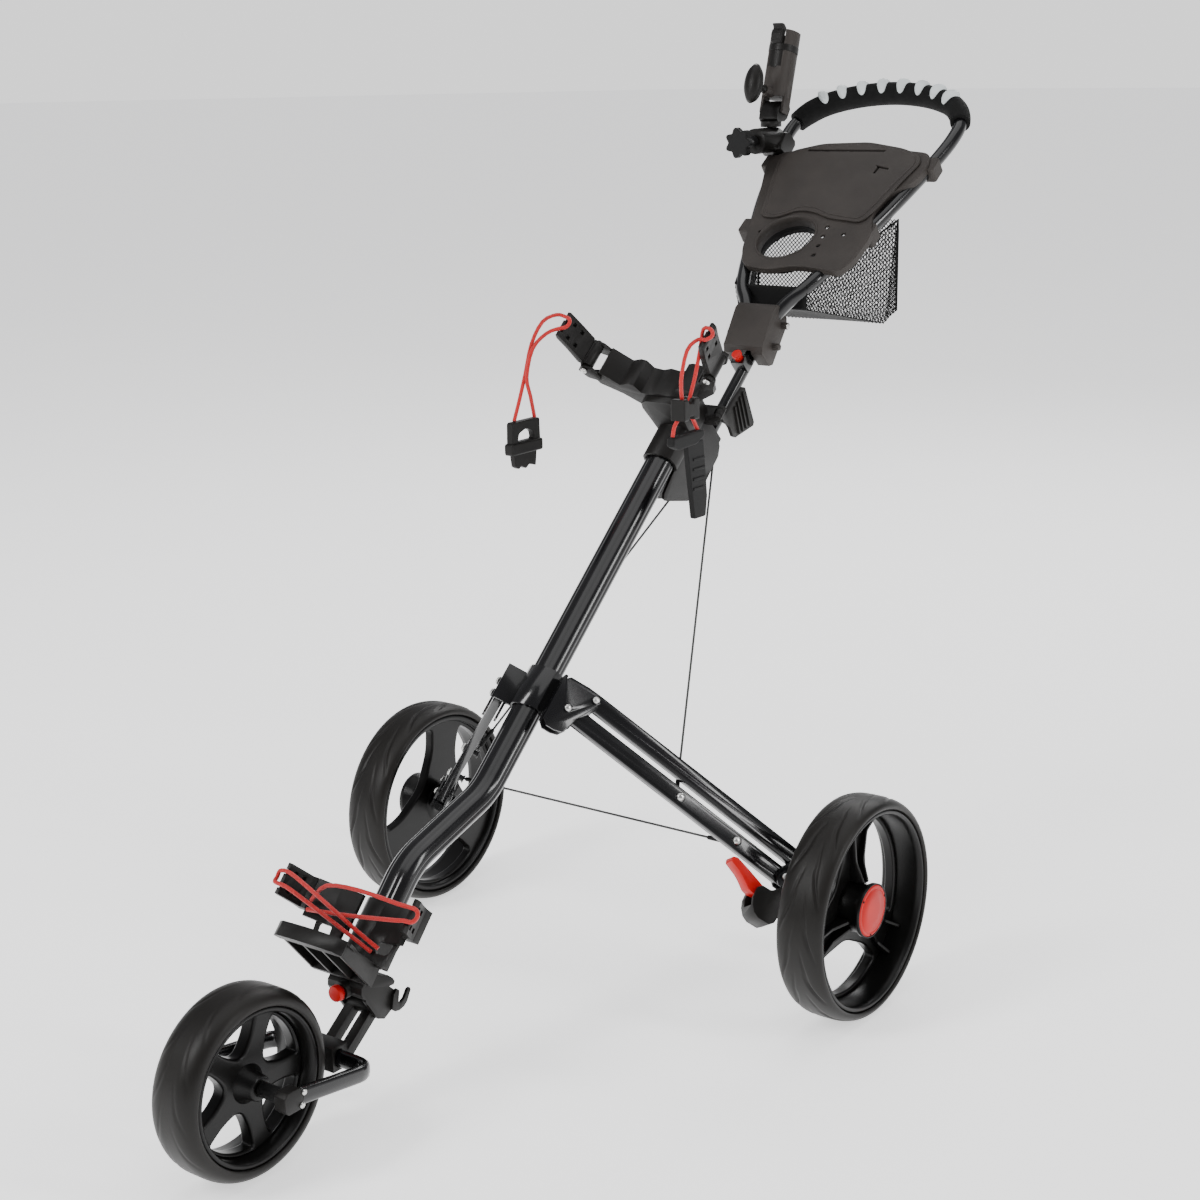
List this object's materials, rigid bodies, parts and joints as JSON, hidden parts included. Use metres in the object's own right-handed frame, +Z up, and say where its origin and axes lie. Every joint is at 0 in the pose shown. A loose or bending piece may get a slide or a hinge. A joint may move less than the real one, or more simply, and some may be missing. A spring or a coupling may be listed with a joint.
{
  "type": "golf push cart",
  "caption": "Folding three-wheel golf push cart with a bag cradle, console, net pocket, umbrella holder and foot brake.",
  "frame": {"origin": "on the floor at the bottom centre of the open cart", "axes": "+Z up; the front wheel points towards -Y and the handle towards +Y; +X is the side of the foot brake, with X = 0 the plane of symmetry of the frame"},
  "size_m": [0.7826, 1.5879, 1.2304],
  "materials": {
    "frame_tube": "gloss black painted aluminium tube",
    "frame_steel": "gloss black paint on pressed steel",
    "plastic": "moulded dark grey nylon, fine grain",
    "rim": "moulded dark grey plastic",
    "tyre": "smooth airless foam tyre with a ribbed tread",
    "red_plastic": "satin red plastic",
    "bright_steel": "zinc plated",
    "grip_foam": "fine-celled foam with pale finger pads",
    "mesh_fabric": "black open mesh with a bound edge",
    "cord": "woven sheath on an elastic core",
    "cable": "thin twisted steel cable",
    "rubber": "moulded rubber"
  },
  "bodies": {
    "frame": {"main_tube": "frame_tube", "mid_bracket": "frame_steel", "lower_bag_rest": "plastic", "lower_arm_right": "plastic", "lower_arm_left": "plastic", "lower_bungee_left": "cord", "lower_bungee_right": "cord", "front_knuckle": "plastic", "upper_bracket": "plastic"},
    "fork": {"front_fork": "frame_tube", "fork_block_right": "plastic", "fork_block_left": "plastic", "front_strut": "plastic", "front_axle": "bright_steel"},
    "front_wheel": {"front_rim": "rim", "front_tyre": "tyre"},
    "fold_button": {"fold_button": "red_plastic"},
    "stem": {"handle_stem": "frame_tube"},
    "stem_button": {"stem_button": "red_plastic"},
    "handle": {"joint_block": "plastic", "handle_tube": "frame_tube", "grip": "grip_foam", "console_base": "plastic", "net_bag": "mesh_fabric", "umbrella_clamp": "plastic"},
    "lock_knob": {"lock_knob": "plastic"},
    "console_lid": {"console_lid": "plastic"},
    "cam_lever": {"cam_lever": "plastic"},
    "saddle_arm_right": {"saddle_arm_right": "plastic", "bungee_right": "cord", "cord_slider": "plastic", "hook_right": "rubber"},
    "saddle_arm_left": {"saddle_arm_left": "plastic", "bungee_left": "cord", "hook_left": "plastic"},
    "umbrella_hand_wheel": {"umbrella_hand_wheel": "plastic"},
    "umbrella_swivel": {"umbrella_swivel": "plastic"},
    "umbrella_holder": {"umbrella_holder": "plastic"},
    "umbrella_screw": {"umbrella_screw": "plastic"},
    "brake_pedal": {"brake_pedal": "red_plastic"},
    "lower_bar_right": {"lower_bar_right": "frame_tube", "brake_housing": "plastic"},
    "upper_bar_right": {"upper_bar_right": "frame_tube"},
    "wheel_bracket_right": {"wheel_bracket_right": "frame_steel"},
    "rear_wheel_right": {"rear_rim_right": "rim", "rear_tyre_right": "tyre", "hub_cap_right": "red_plastic"},
    "lift_cable_right": {"lift_cable_right": "cable"},
    "cross_cable_right": {"cross_cable_right": "cable"},
    "lower_bar_left": {"lower_bar_left": "frame_tube"},
    "upper_bar_left": {"upper_bar_left": "frame_tube"},
    "wheel_bracket_left": {"wheel_bracket_left": "frame_steel"},
    "rear_wheel_left": {"rear_rim_left": "rim", "rear_tyre_left": "tyre", "hub_cap_left": "red_plastic"},
    "lift_cable_left": {"lift_cable_left": "cable"},
    "cross_cable_left": {"cross_cable_left": "cable"}
  },
  "joints": [
    {"name": "handle_slide", "type": "slide", "parent": "frame", "child": "stem", "axis": [0, -0.7455, -0.6665], "range_m": [0, 0.112]},
    {"name": "handle_fold", "type": "hinge", "parent": "stem", "child": "handle", "pos_m": [0, 0.37509, 0.7981], "axis": [-1, 0, 0], "range_deg": [0, 95]},
    {"name": "front_fold", "type": "hinge", "parent": "frame", "child": "fork", "pos_m": [0, -0.48357, 0.124], "axis": [1, 0, 0], "range_deg": [0, 150]},
    {"name": "front_wheel_spin", "type": "hinge", "parent": "fork", "child": "front_wheel", "pos_m": [0, -0.68687, 0.1106], "axis": [1, 0, 0], "continuous": true},
    {"name": "fold_button_push", "type": "slide", "parent": "frame", "child": "fold_button", "axis": [0, 1, 0], "range_m": [0, 0.002], "stiffness_N_per_m": 400},
    {"name": "stem_button_push", "type": "slide", "parent": "stem", "child": "stem_button", "axis": [0, 0.6665, -0.7455], "range_m": [0, 0.003], "stiffness_N_per_m": 400},
    {"name": "lock_knob_turn", "type": "hinge", "parent": "handle", "child": "lock_knob", "pos_m": [-0.038, 0.37596, 0.81363], "axis": [1, 0, 0], "continuous": true},
    {"name": "console_lid_lift", "type": "hinge", "parent": "handle", "child": "console_lid", "pos_m": [0, 0.66059, 1.06752], "axis": [-1, 0, 0], "range_deg": [0, 100]},
    {"name": "cam_lever_swing", "type": "hinge", "parent": "frame", "child": "cam_lever", "pos_m": [0.045, 0.21751, 0.7283], "axis": [0, -0.7455, -0.6665], "range_deg": [0, 110]},
    {"name": "lower_fold_right", "type": "hinge", "parent": "frame", "child": "lower_bar_right", "pos_m": [0.0526, -0.14991, 0.40784], "axis": [-0.7524, 0.439, -0.491], "range_deg": [0, 48.51]},
    {"name": "upper_fold_right", "type": "hinge", "parent": "frame", "child": "upper_bar_right", "pos_m": [0.07071, -0.11487, 0.41141], "axis": [-0.7524, 0.439, -0.491], "range_deg": [0, 48.51]},
    {"name": "bracket_turn_right", "type": "hinge", "parent": "lower_bar_right", "child": "wheel_bracket_right", "pos_m": [0.28283, -0.00569, 0.18401], "axis": [0.7524, -0.439, 0.491], "range_deg": [0, 48.51]},
    {"name": "rear_wheel_spin_right", "type": "hinge", "parent": "wheel_bracket_right", "child": "rear_wheel_right", "pos_m": [0.3588, 0.04743, 0.145], "axis": [1, 0, 0], "continuous": true},
    {"name": "lift_cable_turn_right", "type": "hinge", "parent": "lower_bar_right", "child": "lift_cable_right", "pos_m": [0.16555, -0.07097, 0.28703], "axis": [0.6796, -0.3847, 0.6246], "range_deg": [0, 39.2]},
    {"name": "cross_cable_turn_right", "type": "hinge", "parent": "lower_bar_right", "child": "cross_cable_right", "pos_m": [0.22541, -0.03347, 0.22883], "axis": [0, 0.2487, -0.9686], "range_deg": [0, 25.41]},
    {"name": "saddle_arm_tilt_right", "type": "hinge", "parent": "frame", "child": "saddle_arm_right", "pos_m": [0.099, 0.12426, 0.80858], "axis": [0, 0.7455, 0.6665], "range_deg": [-15, 15]},
    {"name": "lower_fold_left", "type": "hinge", "parent": "frame", "child": "lower_bar_left", "pos_m": [-0.0526, -0.14991, 0.40784], "axis": [-0.7524, -0.439, 0.491], "range_deg": [0, 48.51]},
    {"name": "upper_fold_left", "type": "hinge", "parent": "frame", "child": "upper_bar_left", "pos_m": [-0.07071, -0.11487, 0.41141], "axis": [-0.7524, -0.439, 0.491], "range_deg": [0, 48.51]},
    {"name": "bracket_turn_left", "type": "hinge", "parent": "lower_bar_left", "child": "wheel_bracket_left", "pos_m": [-0.28283, -0.00569, 0.18401], "axis": [0.7524, 0.439, -0.491], "range_deg": [0, 48.51]},
    {"name": "rear_wheel_spin_left", "type": "hinge", "parent": "wheel_bracket_left", "child": "rear_wheel_left", "pos_m": [-0.3588, 0.04743, 0.145], "axis": [1, 0, 0], "continuous": true},
    {"name": "lift_cable_turn_left", "type": "hinge", "parent": "lower_bar_left", "child": "lift_cable_left", "pos_m": [-0.16555, -0.07097, 0.28703], "axis": [0.6796, 0.3847, -0.6246], "range_deg": [0, 39.2]},
    {"name": "cross_cable_turn_left", "type": "hinge", "parent": "lower_bar_left", "child": "cross_cable_left", "pos_m": [-0.22541, -0.03347, 0.22883], "axis": [0, -0.2487, 0.9686], "range_deg": [0, 25.41]},
    {"name": "saddle_arm_tilt_left", "type": "hinge", "parent": "frame", "child": "saddle_arm_left", "pos_m": [-0.099, 0.12426, 0.80858], "axis": [0, -0.7455, -0.6665], "range_deg": [-15, 15]},
    {"name": "brake_pedal_press", "type": "hinge", "parent": "lower_bar_right", "child": "brake_pedal", "pos_m": [0.27204, -0.04908, 0.17804], "axis": [0.7524, -0.439, 0.491], "range_deg": [0, 22]},
    {"name": "umbrella_hand_wheel_turn", "type": "hinge", "parent": "handle", "child": "umbrella_hand_wheel", "pos_m": [-0.139, 0.56743, 1.068], "axis": [0, 1, 0], "continuous": true},
    {"name": "umbrella_swivel_turn", "type": "hinge", "parent": "handle", "child": "umbrella_swivel", "pos_m": [-0.139, 0.64143, 1.08], "axis": [0, 0, -1], "range_deg": [-90, 30]},
    {"name": "umbrella_tilt", "type": "hinge", "parent": "umbrella_swivel", "child": "umbrella_holder", "pos_m": [-0.139, 0.65143, 1.114], "axis": [1, 0, 0], "range_deg": [-20, 20]},
    {"name": "umbrella_screw_turn", "type": "hinge", "parent": "umbrella_holder", "child": "umbrella_screw", "pos_m": [-0.139, 0.65724, 1.13314], "axis": [0, -0.9569, 0.2905], "continuous": true}
  ],
  "couplings": [
    {"joint": "lower_fold_right", "follows": "handle_slide", "rad_per_m": 7.5518},
    {"joint": "upper_fold_right", "follows": "handle_slide", "rad_per_m": 7.5518},
    {"joint": "bracket_turn_right", "follows": "handle_slide", "rad_per_m": 7.5518},
    {"joint": "lift_cable_turn_right", "follows": "handle_slide", "rad_per_m": 6.1013},
    {"joint": "cross_cable_turn_right", "follows": "handle_slide", "rad_per_m": 3.9522},
    {"joint": "lower_fold_left", "follows": "handle_slide", "rad_per_m": 7.5518},
    {"joint": "upper_fold_left", "follows": "handle_slide", "rad_per_m": 7.5518},
    {"joint": "bracket_turn_left", "follows": "handle_slide", "rad_per_m": 7.5518},
    {"joint": "lift_cable_turn_left", "follows": "handle_slide", "rad_per_m": 6.1013},
    {"joint": "cross_cable_turn_left", "follows": "handle_slide", "rad_per_m": 3.9522}
  ]
}
